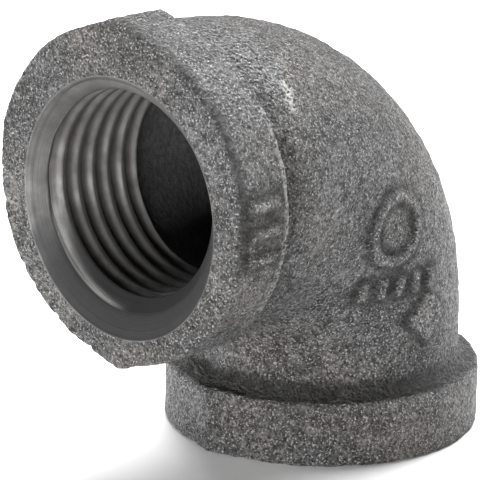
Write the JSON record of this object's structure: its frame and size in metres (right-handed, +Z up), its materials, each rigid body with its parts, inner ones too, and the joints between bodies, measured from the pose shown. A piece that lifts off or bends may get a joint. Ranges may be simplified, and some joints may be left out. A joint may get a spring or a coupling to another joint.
{
  "type": "threaded pipe elbow",
  "caption": "Sand-cast iron 90 degree pipe elbow with a reinforcing band round each of its female threaded sockets.",
  "frame": {"origin": "centre of the lower socket's face", "axes": "+Z up along the lower socket's axis, -Y out of the front socket's mouth, X = 0 is the casting's parting plane"},
  "size_m": [0.0307, 0.0439, 0.0433],
  "materials": {
    "black_iron": "granular sand-cast skin, dark grey with brown tints; drilled, countersunk and tapped surfaces are smoother, with fine tool rings"
  },
  "bodies": {
    "root": {"elbow_casting": "black_iron"}
  },
  "joints": []
}
